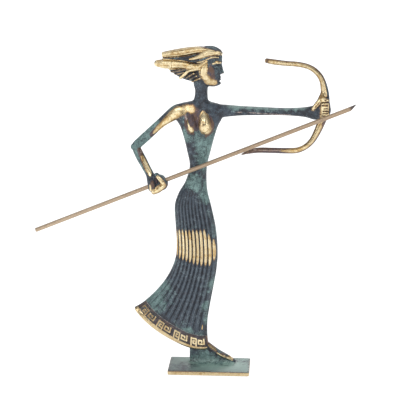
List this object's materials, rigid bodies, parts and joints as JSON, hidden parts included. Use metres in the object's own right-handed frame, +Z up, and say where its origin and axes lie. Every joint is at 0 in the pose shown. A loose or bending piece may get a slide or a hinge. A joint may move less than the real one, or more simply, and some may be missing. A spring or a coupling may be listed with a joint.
{
  "type": "statuette",
  "caption": "Slender cast brass archer in a long pleated robe with a meander hem, on tiptoe on a thin plate, holding out a bow at arm's length, with a long arrow rod through her other fist.",
  "frame": {"origin": "centre of the thin plate's underside, where the statuette rests", "axes": "+Z up through the figure, +X towards the bow, -Y out of the front that the figure shows"},
  "size_m": [0.2124, 0.03, 0.22],
  "materials": {
    "patinated_brass": "blue-green patina, polished to bare brass on the raised parts",
    "rod_brass": "drawn rod, dull tan-brown with fine lengthwise streaks"
  },
  "bodies": {
    "root": {"cast_figure": "patinated_brass", "arrow_rod": "rod_brass"}
  },
  "joints": []
}
